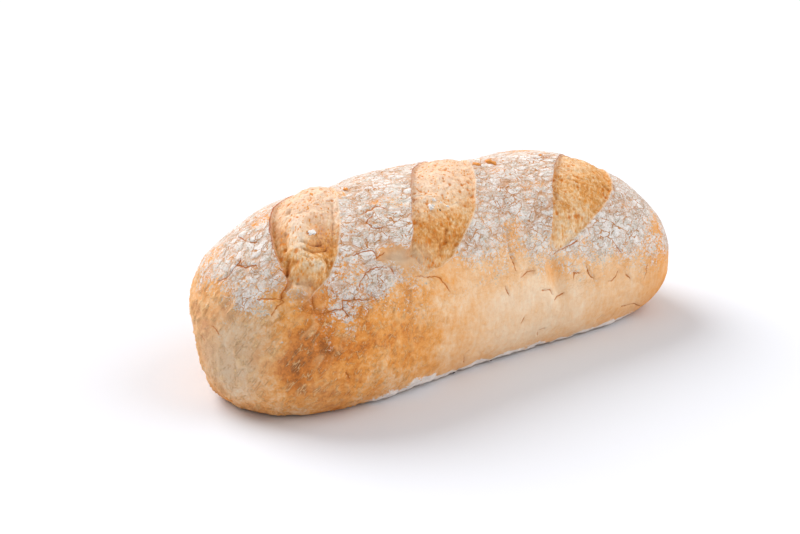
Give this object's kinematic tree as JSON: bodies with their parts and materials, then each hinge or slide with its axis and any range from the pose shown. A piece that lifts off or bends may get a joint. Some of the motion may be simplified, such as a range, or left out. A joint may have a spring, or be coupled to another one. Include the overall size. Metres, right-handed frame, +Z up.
{
  "type": "white loaf",
  "caption": "Uncut floured white loaf with a flat base, a rounded crust and diagonal slashes across the top; food to set on a board or shelf.",
  "frame": {"origin": "middle of the loaf's bounding box, on the plane its base rests on", "axes": "+X along the loaf towards its blunter end, +Z up, -Y is the front that the slashes run down"},
  "size_m": [0.2998, 0.1354, 0.0987],
  "materials": {
    "crust": null
  },
  "bodies": {
    "root": {"loaf": "crust"}
  },
  "joints": []
}
